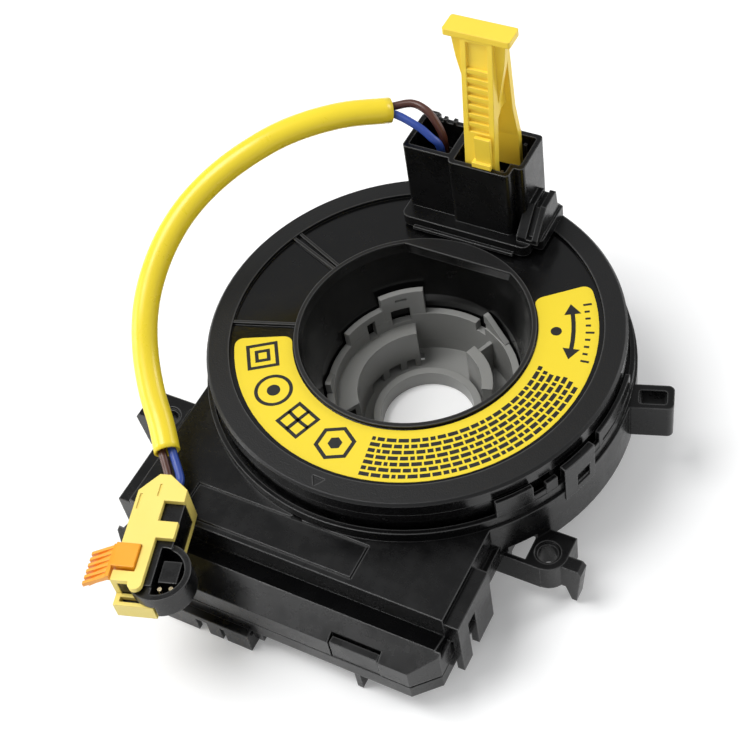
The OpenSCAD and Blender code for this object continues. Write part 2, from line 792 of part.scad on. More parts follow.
// One mounting ear: a rounded tongue with a countersunk screw hole and a snap prong
module ear() {
    hole_x = box_mid + ear_x;
    difference() {
        union() {
            translate([0, 0, ear_z - ear_t])
                linear_extrude(ear_t) {
                    translate([box_right - 2, -ear_y - ear_r - 0.1])
                        square([hole_x - box_right + 2, 2 * ear_r + 1.3]);
                    translate([hole_x, -ear_y])
                        square([ear_r, ear_r + 1.2]);
                    translate([hole_x, -ear_y])
                        circle(r = ear_r, $fn = 64);
                }
            ear_prong(hole_x + ear_r);
        }
        translate([hole_x, -ear_y, ear_z - ear_t - 1])
            cylinder(r = ear_hole_r, h = ear_t + 2, $fn = 48);
        translate([hole_x, -ear_y, ear_z - 0.6])
            cylinder(r = ear_hole_r + 0.7, h = 1, $fn = 48);
    }
}

// Snap prong at the ear's end, narrower towards its foot
module ear_prong(x) {
    translate([0, -ear_y + 1, 0])
        rotate([90, 0, 0])
            linear_extrude(3.4)
                polygon([[x - 1, ear_z - 0.2], [x + 3.4, ear_z - 0.2], [x + 4.2, ear_z - 1.4], [x + 3, 1.2],
                    [x + 1.8, 1.2], [x + 0.4, ear_z - ear_t], [x - 1, ear_z - ear_t]]);
}

// Slot through the ear, and up into the ring's wall where that overhangs it
module ear_slot() {
    translate([box_right + tier_out + 1.3, -ear_y - 3.6, ear_z - ear_t - 1])
        cube([4.3, 7.6, ear_t + 2.4]);
}

// Places its children at the box's right side, or mirrored at its left
module at_side(dir) {
    translate([box_mid, 0, 0])
        mirror([dir > 0 ? 0 : 1, 0, 0])
            translate([-box_mid, 0, 0])
                children();
}

// Hollow lug with rounded corners at the ring's right
module side_lug() {
    rotate([0, 0, 18])
        translate([0, 0, stator_z - 10.5])
            linear_extrude(10.5)
                difference() {
                    round_rect(stator_r - 2.2, -11.3, stator_r + 8.9, -4.4, 1.5);
                    round_rect(stator_r + 0.8, -9.9, stator_r + 7.2, -6, 0.6);
                }
}

// Latch arm with two legs on the side of the box
module side_latch() {
    translate([box_right, 0, 0])
        difference() {
            translate([-fuse, -62.2, 5])
                cube([3.6, 15.4, stator_z - 6.6]);
            translate([-1, -58, 4])
                cube([6, 3.4, stator_z - 10]);
            translate([-1, -63, 4])
                cube([2.8, 17, stator_z - 12]);
        }
}

module stator_case() {
    color("#151517")
        difference() {
            union() {
                ring_wall();
                difference() {
                    union() {
                        box_body();
                        side_lug();
                        for (dir = [1, -1])
                            at_side(dir) {
                                ear();
                                side_latch();
                            }
                    }
                    translate([0, 0, -1])
                        cylinder(r = stator_r - 1, h = stator_z + 10);
                }
                ring_collar();
                snap_plate();
            }
            top_mark();
            front_window();
            strip_groove();
            for (dir = [1, -1])
                at_side(dir)
                    ear_slot();
        }
}

// Annular tub of the ring: floor, double wall and the guide round the rotor's sleeve
module ring_wall() {
    guide_r = sleeve_r + sleeve_t + play;
    rotate_extrude()
        polygon([[guide_r, ring_z - 3.5], [guide_r + 1.8, ring_z - 3.5], [guide_r + 1.8, ring_z],
            [stator_r, ring_z], [stator_r, stator_z], [well_r + 1.6, stator_z], [well_r + 1.6, stator_z + 6],
            [well_r, stator_z + 6], [well_r, floor_z], [guide_r, floor_z]]);
}

// Low collar round the rotor's skirt, with taller steps at the right
module ring_collar() {
    difference() {
        union() {
            difference() {
                translate([0, 0, stator_z - fuse])
                    cylinder(r = collar_r, h = 3);
                translate([0, 0, stator_z - 1])
                    cylinder(r = rotor_r + play, h = 9);
            }
            for (step = [[-44, -33.8, 8.3], [-30, -26.5, 6.6], [-11, 9, 8.3]])
                ring_sector(rotor_r + play + 0.05, collar_r - 0.05, step[0], step[1], stator_z - fuse, step[2]);
            for (step = [[-34, -29.8, 4.7], [-14, -10.8, 5]])
                ring_sector(rotor_r + play + 0.12, collar_r - 0.12, step[0], step[1], stator_z - 2 * fuse, step[2]);
        }
        ring_sector(collar_r - 0.4, collar_r + 1, -9.5, 7.5, stator_z + 3.6, 1);
    }
}

// Snap plate with a square window that stands on the ring's edge
module snap_plate() {
    middle = -19.75;
    difference() {
        ring_sector(collar_r - 0.8, stator_r + 0.3, middle - 5.25, middle + 5.25, stator_z - 3, 11.3);
        rotate([0, 0, middle + 1])
            translate([rotor_r - 1, -2.05, stator_z - 1])
                cube([6, 4.1, 4.4]);
    }
}

// Index triangle on the box's top, facing the rotor's mark
module top_mark() {
    translate([-5.8, -51.8, stator_z - 0.4])
        linear_extrude(1)
            polygon([[-1.6, 0], [1.6, 0], [0, 2.2]]);
}

// Window in the box's front edge
module front_window() {
    translate([window_x, front_y - 1, parting_z])
        cube([window_w, 3.4, 12]);
}

// Shallow step round the raised strip on the box's top
module strip_groove() {
    translate([-32, -60.9, stator_z - 0.35])
        difference() {
            cube([45, 9.2, 1]);
            translate([0.4, 0.4, -1])
                cube([44.2, 8.4, 3]);
        }
}

module lower_cover() {
    color("#17171a")
        difference() {
            union() {
                side_profile(box_left - tier_out, box_right + tier_out, [[-cover_back, parting_z],
                    [front_y, parting_z], [front_y, parting_z - cover_t], [-cover_back, parting_z - cover_t]]);
                translate([box_left + 1, seam_y, parting_z - fuse])
                    cube([box_right - box_left - 2, -cover_back - parting_gap - seam_y, parting_gap + fuse]);
                translate([window_x + 0.3, front_y + 0.2, parting_z - fuse])
                    cube([window_w - 0.6, 1.8, front_z - parting_z]);
                for (foot = [[-9, 2.4, 3.4], [17.5, 1.4, 0.3]])
                    translate([foot[0], front_y + 0.1, foot[2]])
                        cube([foot[1], 5, parting_z - cover_t - foot[2] + fuse]);
            }
            corner_cuts();
            harness_cutout();
        }
}

// Place of the harness socket under the box
socket_x = -33;
socket_w = 23.5;
socket_y = -71.6;
socket_d = 15;
mouth_d = 3.6;
module harness_cutout() {
    translate([socket_x - 0.1, socket_y - 0.1, -1])
        cube([socket_w + 0.2, socket_d + 0.2, parting_z + 2]);
}

module harness_socket() {
    mouth_h = parting_z - cover_t - 0.1;
    color("#1c1c1e")
        difference() {
            union() {
                translate([socket_x, socket_y, 0])
                    cube([socket_w, socket_d, parting_z + parting_gap]);
                translate([socket_x, socket_y - mouth_d, 0])
                    cube([socket_w, mouth_d + fuse, mouth_h]);
            }
            translate([socket_x + 1.5, socket_y + 1.5, -1])
                cube([socket_w - 3, socket_d - 3, parting_z - 0.5]);
            translate([socket_x + 1.5, socket_y - mouth_d + 1.3, -1])
                cube([socket_w - 3, mouth_d + 0.4, mouth_h - 0.3]);
            for (slot = [[9, 3], [15.6, 1.2]])
                translate([socket_x + slot[0], socket_y - mouth_d - 1, -1])
                    cube([slot[1], 3, mouth_h - 0.6]);
        }
}

module harness_pins() {
    color("#c9a25a")
        for (row = [0, 1])
            for (i = [0:5])
                translate([socket_x + 3.6 + i * 2.6, socket_y + 4.6 + row * 4.4, parting_z - 5.5])
                    cube([pin_w, pin_w, 4]);
}

// Turns of the flat cable, from the block on the rotor's drum out to the block in the well
cable_in = drum_r + 3.9;
cable_out = well_r - 2;
cable_step = 12;
cable_points = cable_turns * 360 / cable_step;
function cable_point(i, off) = let (a = 90 + i * cable_step,
        r = cable_in + (cable_out - cable_in) * i / cable_points + off)
    [r * cos(a), r * sin(a)];
module flat_cable() {
    color("#d8d4c4")
        translate([0, 0, floor_z + sheet_t + 0.6])
            linear_extrude(cable_h)
                polygon(concat([for (i = [0:cable_points]) cable_point(i, 0)],
                    [for (i = [cable_points:-1:0]) cable_point(i, cable_t)]));
}

module slip_sheet() {
    color("#e6e6e2")
        translate([0, 0, floor_z])
            difference() {
                cylinder(r = well_r - 0.3, h = sheet_t);
                translate([0, 0, -1])
                    cylinder(r = drum_r + play, h = sheet_t + 2);
            }
}

// Block against the well's wall that holds the cable's outer end
module outer_lead_block() {
    block_z = floor_z + sheet_t;
    color("#1b1b1d")
        intersection() {
            translate([0, 0, block_z])
                difference() {
                    cylinder(r = well_r, h = cable_h + 1);
                    translate([0, 0, -1])
                        cylinder(r = cable_out + cable_t + 0.1, h = cable_h + 3);
                }
            translate([-4, 0, block_z - 1])
                cube([block_w, well_r + 1, cable_h + 3]);
        }
}

rotor_disc();
connector_tower();
tower_pins();
label_film();
cancel_hub();
hub_base();
inner_lead_block();
lock_lever();
lead_sleeve();
blue_wire_top();
brown_wire_top();
blue_wire_end();
brown_wire_end();
plug_shell();
plug_core();
plug_contacts();
plug_lock();
stator_case();
lower_cover();
flat_cable();
slip_sheet();
outer_lead_block();
harness_socket();
harness_pins();
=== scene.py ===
import math

import bmesh
import bpy
from mathutils import Matrix, Vector


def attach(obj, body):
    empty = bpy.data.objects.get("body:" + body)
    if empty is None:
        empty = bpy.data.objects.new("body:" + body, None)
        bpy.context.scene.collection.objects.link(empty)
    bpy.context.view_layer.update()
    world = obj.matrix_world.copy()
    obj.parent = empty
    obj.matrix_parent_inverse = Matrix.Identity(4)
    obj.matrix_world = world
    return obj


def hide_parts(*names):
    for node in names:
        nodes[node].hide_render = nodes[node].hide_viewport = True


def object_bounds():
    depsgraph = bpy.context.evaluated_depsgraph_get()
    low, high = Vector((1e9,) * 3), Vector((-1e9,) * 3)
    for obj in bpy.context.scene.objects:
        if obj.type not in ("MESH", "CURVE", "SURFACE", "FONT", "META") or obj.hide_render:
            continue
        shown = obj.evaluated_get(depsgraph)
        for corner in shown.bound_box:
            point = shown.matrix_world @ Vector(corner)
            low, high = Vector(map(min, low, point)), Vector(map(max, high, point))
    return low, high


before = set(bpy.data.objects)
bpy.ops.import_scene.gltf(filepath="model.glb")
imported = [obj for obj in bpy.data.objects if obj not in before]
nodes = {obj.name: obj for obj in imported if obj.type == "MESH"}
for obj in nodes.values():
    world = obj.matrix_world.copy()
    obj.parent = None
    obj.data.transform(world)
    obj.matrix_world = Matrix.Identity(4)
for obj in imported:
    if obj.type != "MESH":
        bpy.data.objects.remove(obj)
cad_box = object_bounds()
MM = 0.001


# Camera and light

# The camera that was fitted to the photograph: its axes, its place in metres, its lens and
# sensor in millimetres, and the nearest and farthest distance that it shows, in metres
CAMERA_RIGHT = Vector((0.88238358, 0.45288124, -0.12766285))
CAMERA_UP = Vector((-0.28793814, 0.73429934, 0.61473255))
CAMERA_BACK = Vector((0.37214359, -0.5056709, 0.77833546))
CAMERA_PLACE = (0.126851, -0.191378, 0.306910)
CAMERA_LENS = 71.936
CAMERA_SENSOR = 36
CAMERA_CLIP = (0.01, 20)

# Each softbox's place, the point it faces and its width in metres, and its power in watts
SOFTBOXES = {
    "key_softbox": ((-0.46, -0.20, 1.10), (0, 0, 0.02), 0.6, 10.0),
    "front_softbox": ((-1.00, -0.50, 0.30), (0, 0, 0.06), 0.5, 3.8),
    "rim_softbox": ((0.62, 0.66, 0.40), (0, 0, 0.03), 0.30, 2.6),
}
WHITE = (1, 1, 1, 1)
ROOM_COLOUR = (0.98, 0.99, 1, 1)
ROOM_LIGHT = 0.45
FLOOR_COLOUR = (0.9, 0.9, 0.9, 1)
# Half the floor's width, and its depth below the object, in metres
FLOOR_HALF = 3
FLOOR_DROP = 0.0002
# Glow that the floor adds for the camera and in reflections
FLOOR_LIFT = 0.15


def set_camera():
    """The photograph's own viewpoint, lens and tilt."""
    lens = bpy.data.cameras.new("photo_lens")
    lens.sensor_width = CAMERA_SENSOR
    lens.lens = CAMERA_LENS
    lens.clip_start, lens.clip_end = CAMERA_CLIP
    camera = bpy.data.objects.new("photo_camera", lens)
    turn = Matrix((CAMERA_RIGHT, CAMERA_UP, CAMERA_BACK)).transposed().to_4x4()
    camera.matrix_world = Matrix.Translation(CAMERA_PLACE) @ turn
    bpy.context.scene.collection.objects.link(camera)
    bpy.context.scene.camera = camera


def set_lights():
    """A key light high at the left, one low at the left and a weak one behind at the right."""
    for name, (place, target, width, watts) in SOFTBOXES.items():
        lamp = bpy.data.lights.new(name, "AREA")
        lamp.size = width
        lamp.energy = watts
        holder = bpy.data.objects.new(name, lamp)
        holder.location = place
        aim = Vector(place) - Vector(target)
        holder.rotation_euler = aim.to_track_quat("Z", "Y").to_euler()
        bpy.context.scene.collection.objects.link(holder)


def set_world():
    """A dim, even room round the softboxes."""
    world = bpy.data.worlds.new("studio")
    bpy.context.scene.world = world
    world.use_nodes = True
    room = world.node_tree.nodes["Background"]
    room.inputs["Color"].default_value = ROOM_COLOUR
    room.inputs["Strength"].default_value = ROOM_LIGHT


def make_floor():
    """A plain pale floor that keeps the object's shadow."""
    mesh = bpy.data.meshes.new("floor")
    bm = bmesh.new()
    bmesh.ops.create_grid(bm, x_segments=1, y_segments=1, size=FLOOR_HALF)
    bmesh.ops.translate(bm, verts=bm.verts, vec=(0, 0, cad_box[0][2] - FLOOR_DROP))
    bm.to_mesh(mesh)
    bm.free()
    floor = bpy.data.objects.new("floor", mesh)
    bpy.context.scene.collection.objects.link(floor)
    paint, tree, out = new_material("floor_paint")
    path = tree.nodes.new("ShaderNodeLightPath")
    seen = maths(tree, "MAXIMUM", path.outputs["Is Camera Ray"], path.outputs["Is Glossy Ray"])
    seen = maths(tree, "MAXIMUM", seen, path.outputs["Is Transmission Ray"])
    glow = maths(tree, "MULTIPLY", seen, FLOOR_LIFT)
    matt = put(tree, "ShaderNodeBsdfDiffuse", Color=FLOOR_COLOUR)
    lift = put(tree, "ShaderNodeEmission", Color=WHITE, Strength=glow)
    add = tree.nodes.new("ShaderNodeAddShader")
    tree.links.new(matt.outputs[0], add.inputs[0])
    tree.links.new(lift.outputs[0], add.inputs[1])
    tree.links.new(add.outputs[0], out.inputs["Surface"])
    mesh.materials.append(paint)


# Shader nodes

def feed(tree, target, value):
    """Links a socket to an input, or sets the input to a plain value."""
    if isinstance(value, bpy.types.NodeSocket):
        tree.links.new(value, target)
    else:
        target.default_value = value


def put(tree, kind, settings=None, **inputs):
    """A shader node with some of its settings and inputs given."""
    made = tree.nodes.new(kind)
    for name, value in (settings or {}).items():
        setattr(made, name, value)
    for name, value in inputs.items():
        feed(tree, made.inputs[name.replace("_", " ")], value)
    return made


def new_material(name):
    """A material with nothing in it but its output."""
    paint = bpy.data.materials.new(name)
    paint.use_nodes = True
    tree = paint.node_tree
    tree.nodes.clear()
    return paint, tree, tree.nodes.new("ShaderNodeOutputMaterial")


def start_finish(name):
    """A material with its shader, and the object's own coordinates."""
    paint, tree, out = new_material(name)
    shader = tree.nodes.new("ShaderNodeBsdfPrincipled")
    tree.links.new(shader.outputs["BSDF"], out.inputs["Surface"])
    coords = tree.nodes.new("ShaderNodeTexCoord")
    return paint, tree, shader, coords.outputs["Object"]


def maths(tree, what, first, second):
    """The result of a Math node on two values."""
    made = tree.nodes.new("ShaderNodeMath")
    made.operation = what
    feed(tree, made.inputs[0], first)
    feed(tree, made.inputs[1], second)
    return made.outputs[0]


def noise(tree, coords, scale, detail, rough=0.55):
    """Noise whose spots are about a metre divided by the scale across."""
    made = put(tree, "ShaderNodeTexNoise", Vector=coords, Scale=scale, Detail=detail,
               Roughness=rough)
    return made.outputs["Fac"]


def remap(tree, source, low, high, to_low, to_high):
    """A value moved from one range to another, and held inside it."""
    made = put(tree, "ShaderNodeMapRange", Value=source, From_Min=low, From_Max=high,
               To_Min=to_low, To_Max=to_high)
    return made.outputs["Result"]


def blend(tree, factor, first, second, kind="RGBA"):
    """A mix of two colours, or of two values with the kind FLOAT."""
    made = put(tree, "ShaderNodeMix", {"data_type": kind}, Factor=factor, A=first, B=second)
    return made.outputs["Result"]


def rgba(colour, share=1.0, lift=0.0):
    """A colour for an input, made darker or paler."""
    return (*(min(1, c * share + lift) for c in colour), 1)


# Finishes

# The middle range of a noise, which takes in most of its values
NOISE_LOW = 0.3
NOISE_HIGH = 0.7

# Noise scales and details on mouldings: broad clouds, smears of handling and the mould's grain
CLOUD = (45, 4)
SMEAR = (160, 5, 0.65)
SPECK = (2600, 2)
# Below this value of its noise a face has no smear
SMEAR_LOW = 0.35
# How far smears change the roughness, and clouds the colour
SMUDGE = 0.1
SHADE = 0.1
# Heights of the grain and of the slow waves, in metres
GRAIN_HEIGHT = 0.0003
WAVE_HEIGHT = 0.0008
BEVEL_SAMPLES = 6

# On spark-textured faces: the roughness, the colour's share and the strength of the grain
MATT_ROUGH = (0.38, 0.48)
MATT_SHADE = 1.5
MATT_GRAIN = 0.22

# Painted highlight along outer edges: width of the line in millimetres, samples, and the
# occlusion at its full and at its faded side
HIGHLIGHT_WIDTH = 0.45
HIGHLIGHT_SAMPLES = 8
HIGHLIGHT_FULL = 0.55
HIGHLIGHT_FADED = 0.9

# Noise scales and details on metal, and on film for its tint and its gloss
METAL_CLOUD = (700, 3)
FILM_CLOUD = (60, 3)
FILM_SPECK = (1500, 2)
# Share of the colour in the darker places of metal and film, and how far their roughness goes
METAL_SHADE = 0.85
FILM_SHADE = 0.96
METAL_SPREAD = 0.3
FILM_SPREAD = 0.2
# Strength of film's waves, and their height in metres
FILM_WAVE = 0.08
FILM_WAVE_HEIGHT = 0.0004


def edge_highlight_mask(tree):
    """A mask of thin lines along the outer edges, found by looking inwards from the faces, where
    a highlight is painted.
    """
    inside = put(tree, "ShaderNodeAmbientOcclusion",
                 {"inside": True, "only_local": True, "samples": HIGHLIGHT_SAMPLES},
                 Distance=HIGHLIGHT_WIDTH * MM)
    return remap(tree, inside.outputs["AO"], HIGHLIGHT_FULL, HIGHLIGHT_FADED, 1, 0)


def moulded_plastic(name, colour, rough, grain, edge=0.3, level=0.5, wave=0.02,
                    matt_above=None, painted_edge_light=None):
    """Moulded plastic: uneven gloss, a fine mould grain and softened edges.

    edge is the softened edges' radius in millimetres, and level the share of gloss.
    matt_above is the height in millimetres above which faces are spark-textured.
    The last argument is how pale the highlight painted along the outer edges is."""
    paint, tree, shader, coords = start_finish(name)
    cloud = noise(tree, coords, *CLOUD)
    speck = noise(tree, coords, *SPECK)
    smear = noise(tree, coords, *SMEAR)
    tint = blend(tree, cloud, rgba(colour, 1 - SHADE), rgba(colour, 1 + SHADE / 2, 0.001))
    gloss = remap(tree, smear, SMEAR_LOW, NOISE_HIGH, rough - SMUDGE / 2, rough + SMUDGE)
    if matt_above:
        parts = put(tree, "ShaderNodeSeparateXYZ", Vector=coords)
        matt = maths(tree, "GREATER_THAN", parts.outputs["Z"], matt_above * MM)
        texture = remap(tree, speck, NOISE_LOW, NOISE_HIGH, *MATT_ROUGH)
        gloss = blend(tree, matt, gloss, texture, "FLOAT")
        tint = blend(tree, matt, tint, rgba(colour, MATT_SHADE))
        grain = remap(tree, matt, 0, 1, grain, MATT_GRAIN)
    # Painted highlight: the outer edges get a paler colour, as if they caught the light
    if painted_edge_light:
        tint = blend(tree, edge_highlight_mask(tree), tint, (painted_edge_light, painted_edge_light, painted_edge_light, 1))
    rounded = put(tree, "ShaderNodeBevel", {"samples": BEVEL_SAMPLES}, Radius=edge * MM)
    bumps = put(tree, "ShaderNodeBump", Height=speck, Strength=grain, Distance=GRAIN_HEIGHT,
                Normal=rounded.outputs["Normal"])
    waves = put(tree, "ShaderNodeBump", Height=cloud, Strength=wave, Distance=WAVE_HEIGHT,
                Normal=bumps.outputs["Normal"])
    tree.links.new(tint, shader.inputs["Base Color"])
    tree.links.new(gloss, shader.inputs["Roughness"])
    tree.links.new(waves.outputs["Normal"], shader.inputs["Normal"])
    shader.inputs["Specular IOR Level"].default_value = level
    return paint


def metal(name, colour, rough):
    """Plated metal with faint blotches."""
    paint, tree, shader, coords = start_finish(name)
    cloud = noise(tree, coords, *METAL_CLOUD)
    tint = blend(tree, cloud, rgba(colour, METAL_SHADE), rgba(colour))
    gloss = remap(tree, cloud, NOISE_LOW, NOISE_HIGH, rough * (1 - METAL_SPREAD),
                  rough * (1 + METAL_SPREAD))
    tree.links.new(tint, shader.inputs["Base Color"])
    tree.links.new(gloss, shader.inputs["Roughness"])
    shader.inputs["Metallic"].default_value = 1.0
    return paint


def film(name, colour, rough):
    """Thin printed or laminated film with faint waves."""
    paint, tree, shader, coords = start_finish(name)
    cloud = noise(tree, coords, *FILM_CLOUD)
    speck = noise(tree, coords, *FILM_SPECK)
    tint = blend(tree, cloud, rgba(colour, FILM_SHADE), rgba(colour))
    gloss = remap(tree, speck, NOISE_LOW, NOISE_HIGH, rough * (1 - FILM_SPREAD),
                  rough * (1 + FILM_SPREAD))
    waves = put(tree, "ShaderNodeBump", Height=cloud, Strength=FILM_WAVE,
                Distance=FILM_WAVE_HEIGHT)
    tree.links.new(tint, shader.inputs["Base Color"])
    tree.links.new(gloss, shader.inputs["Roughness"])
    tree.links.new(waves.outputs["Normal"], shader.inputs["Normal"])
    return paint


BLACK = (0.0020, 0.0020, 0.0022)
# Shares of the usual gloss on the black mouldings, their waves, and how pale the highlight
# painted on their edges is
BLACK_GLOSS = 0.34
ROTOR_GLOSS = 0.42
BLACK_WAVE = 0.012
BLACK_EDGE_HIGHLIGHT = 0.07
# Height in millimetres above which the rotor's rim is spark-textured
ROTOR_MATT = 36.5

finishes = {
    "satin_black": moulded_plastic("satin_black", BLACK, 0.27, 0.03, level=BLACK_GLOSS,
                                   wave=BLACK_WAVE, painted_edge_light=BLACK_EDGE_HIGHLIGHT),
    "rotor_black": moulded_plastic("rotor_black", BLACK, 0.20, 0.02, level=ROTOR_GLOSS,
                                   wave=BLACK_WAVE, matt_above=ROTOR_MATT, painted_edge_light=BLACK_EDGE_HIGHLIGHT),
    "case_black": moulded_plastic("case_black", BLACK, 0.25, 0.03, level=BLACK_GLOSS,
                                  wave=BLACK_WAVE, painted_edge_light=BLACK_EDGE_HIGHLIGHT),
    "grey_plastic": moulded_plastic("grey_plastic", (0.30, 0.30, 0.288), 0.34, 0.06),
    "lever_yellow": moulded_plastic("lever_yellow", (0.96, 0.69, 0.06), 0.34, 0.04),
    "plug_yellow": moulded_plastic("plug_yellow", (0.93, 0.75, 0.18), 0.36, 0.04),
    "lock_orange": moulded_plastic("lock_orange", (1.0, 0.38, 0.012), 0.34, 0.04),
    "sleeve_yellow": moulded_plastic("sleeve_yellow", (0.93, 0.72, 0.03), 0.30, 0.03, 0.1),
    "wire_blue": moulded_plastic("wire_blue", (0.022, 0.062, 0.33), 0.35, 0.03, 0.05),
    "wire_brown": moulded_plastic("wire_brown", (0.085, 0.028, 0.018), 0.35, 0.03, 0.05),
    "label_yellow": film("label_yellow", (0.86, 0.66, 0.028), 0.38),
    "label_ink": film("label_ink", (0.010, 0.010, 0.010), 0.4),
    "cable_film": film("cable_film", (0.62, 0.42, 0.20), 0.25),
    "slip_film": film("slip_film", (0.78, 0.78, 0.75), 0.35),
    "tinned_brass": metal("tinned_brass", (0.72, 0.60, 0.38), 0.25),
}

# The CAD nodes that wear each finish
FINISH_NODES = {
    "rotor_black": ["rotor_disc"],
    "case_black": ["stator_case"],
    "satin_black": ["connector_tower", "inner_lead_block", "outer_lead_block", "plug_core",
                    "lower_cover", "harness_socket"],
    "tinned_brass": ["tower_pins", "plug_contacts", "harness_pins"],
    "grey_plastic": ["cancel_hub", "hub_base"],
    "label_yellow": ["label_film"],
    "lever_yellow": ["lock_lever"],
    "plug_yellow": ["plug_shell"],
    "lock_orange": ["plug_lock"],
    "sleeve_yellow": ["lead_sleeve"],
    "wire_blue": ["blue_wire_top", "blue_wire_end"],
    "wire_brown": ["brown_wire_top", "brown_wire_end"],
    "cable_film": ["flat_cable"],
    "slip_film": ["slip_sheet"],
}


def finish_nodes():
    """Gives each CAD node its finish."""
    for finish, names in FINISH_NODES.items():
        for name in names:
            mesh = nodes[name].data
            mesh.materials.clear()
            mesh.materials.append(finishes[finish])


# Pieces

def add_piece(name, mesh, finish, body, replaced=()):
    """A piece with its finish, which rides on a body and may stand for CAD nodes."""
    piece = bpy.data.objects.new(name, mesh)
    bpy.context.scene.collection.objects.link(piece)
    mesh.materials.clear()
    mesh.materials.append(finishes[finish])
    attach(piece, body)
    if replaced:
        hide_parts(*replaced)
    return piece


# The lead, in millimetres. Its sleeve runs on these points, from the tower to the plug
LEAD_ROUTE = [(-22.5, 39.3, 65), (-31, 31, 68), (-39, 22, 69), (-45.2, 13.8, 68),
              (-51.2, 5.4, 65), (-55.6, -2.7, 61), (-57.6, -11, 57), (-57.8, -19.3, 52.5),
              (-56.2, -27.1, 48), (-53, -34.2, 43), (-48.3, -40.8, 38.6),
              (-43.1, -46.3, 35.4), (-38.8, -51.4, 33.4)]
SLEEVE_R = 3.1
SLEEVE_WALL = 0.55
WIRE_R = 1.0
# Distance of each wire's middle from the sleeve's middle line, and which of the line's points
# a wire follows
WIRE_ASIDE = 1.15
WIRE_EVERY = 3
# Each wire's way up out of the tower's pocket
WIRE_TOPS = {
    "blue": [(-9.2, 38.4, 50.5), (-9.3, 38.3, 58), (-11.4, 38, 60.9), (-15, 38.4, 63)],
    "brown": [(-9.4, 41, 50.5), (-9.6, 41, 58.4), (-11.4, 41.6, 62.2), (-14.4, 42.6, 64.6),
              (-18.6, 43, 65.2)],
}
# The plug's place and its turn in degrees, and each wire's last points in the plug's own frame
PLUG_AT = Vector((-33.9, -57.9, 25.4))
PLUG_TURN = -73
WIRE_ENDS = {
    "blue": [(-2, 1.4, 6), (0.5, 1.4, 6)],
    "brown": [(-2, -1.4, 6), (0.5, -1.4, 6)],
}


def smooth_route(points, steps):
    """A smooth line through points in millimetres, in metres, with steps to each stretch."""
    pts = [Vector(p) * MM for p in points]
    pts = [2 * pts[0] - pts[1]] + pts + [2 * pts[-1] - pts[-2]]
    line = []
    for before, start, end, after in zip(pts, pts[1:], pts[2:], pts[3:]):
        for k in range(steps):
            t = k / steps
            line.append(0.5 * (2 * start + (end - before) * t
                               + (2 * before - 5 * start + 4 * end - after) * t * t
                               + (3 * start - before - 3 * end + after) * t ** 3))
    line.append(pts[-2])
    return line


def tube_mesh(name, line, radius, sides):
    """A round tube round a line, from a curve, with its radius in millimetres."""
    curve = bpy.data.curves.new(name + "_line", "CURVE")
    curve.dimensions = "3D"
    curve.bevel_depth = radius * MM
    curve.bevel_resolution = sides // 4 - 1
    curve.use_fill_caps = False
    spline = curve.splines.new("POLY")
    spline.points.add(len(line) - 1)
    for point, place in zip(spline.points, line):
        point.co = (*place, 1)
    holder = bpy.data.objects.new(name + "_holder", curve)
    bpy.context.scene.collection.objects.link(holder)
    bpy.context.view_layer.update()
    depsgraph = bpy.context.evaluated_depsgraph_get()
    mesh = bpy.data.meshes.new_from_object(holder.evaluated_get(depsgraph))
    bpy.data.objects.remove(holder)
    bpy.data.curves.remove(curve)
    mesh.name = name
    for face in mesh.polygons:
        face.use_smooth = True
    return mesh


def wire_route(colour, sign, line):
    """A wire's points: out of the tower, through the sleeve beside its line, into the plug."""
    points = [Vector(p) for p in WIRE_TOPS[colour]]
    for i in range(0, len(line), WIRE_EVERY):
        ahead = (line[min(i + 1, len(line) - 1)] - line[max(i - 1, 0)]).normalized()
        side = ahead.cross(Vector((0, 0, 1))).normalized()
        points.append(line[i] / MM + sign * WIRE_ASIDE * side)
    turn = Matrix.Rotation(math.radians(PLUG_TURN), 3, "Z")
    points += [PLUG_AT + turn @ Vector(p) for p in WIRE_ENDS[colour]]
    return smooth_route(points, 5)


def make_lead():
    """The hollow sleeve, and the two wires that run through it from the tower to the plug."""
    line = smooth_route(LEAD_ROUTE, 6)
    mesh = tube_mesh("sleeve_tube", line, SLEEVE_R, sides=24)
    sleeve = add_piece("lead_sleeve_tube", mesh, "sleeve_yellow", "rotor",
                       ["lead_sleeve"])
    wall = sleeve.modifiers.new("wall", "SOLIDIFY")
    wall.thickness = SLEEVE_WALL * MM
    wall.offset = -1
    for colour, sign in (("blue", -1), ("brown", 1)):
        path = wire_route(colour, sign, line)
        wire_mesh = tube_mesh(colour + "_wire", path, WIRE_R, sides=16)
        wire = add_piece(colour + "_wire", wire_mesh, "wire_" + colour, "rotor",
                         [colour + "_wire_top", colour + "_wire_end"])


# The label on the rotor's track, in millimetres: its edges, its corners' radius, its height
# and thickness, and its ends in degrees
LABEL_IN = 29.3
LABEL_OUT = 43.3
LABEL_CORNER = 2.2
LABEL_Z = 36.0
LABEL_T = 0.14
LABEL_FROM = -155.5
LABEL_TO = 40

# Ink lies in the film's top by this much, and stands this high in all
INK_SUNK = 0.03
INK_T = 0.06
INK_Z = LABEL_Z + LABEL_T - INK_SUNK

# Printed shapes: radius and degrees of the place on the track, size, sides, width of the line
# (0 fills the shape) and turn in degrees
PRINT_SHAPES = [
    (36.5, -146.5, 5.4, 4, 0.85, 45),
    (36.5, -146.5, 2.6, 4, 0.85, 45),
    (36.3, -129.0, 4.6, 40, 0.85, 0),
    (36.3, -129.0, 1.6, 32, 0, 0),
    (36.2, -111.5, 5.3, 4, 0.85, 45),
    (36.2, -93.5, 4.9, 6, 0.9, 0),
    (36.2, -93.5, 1.7, 6, 0, 0),
    (33.4, 20.5, 1.3, 24, 0, 0),
]
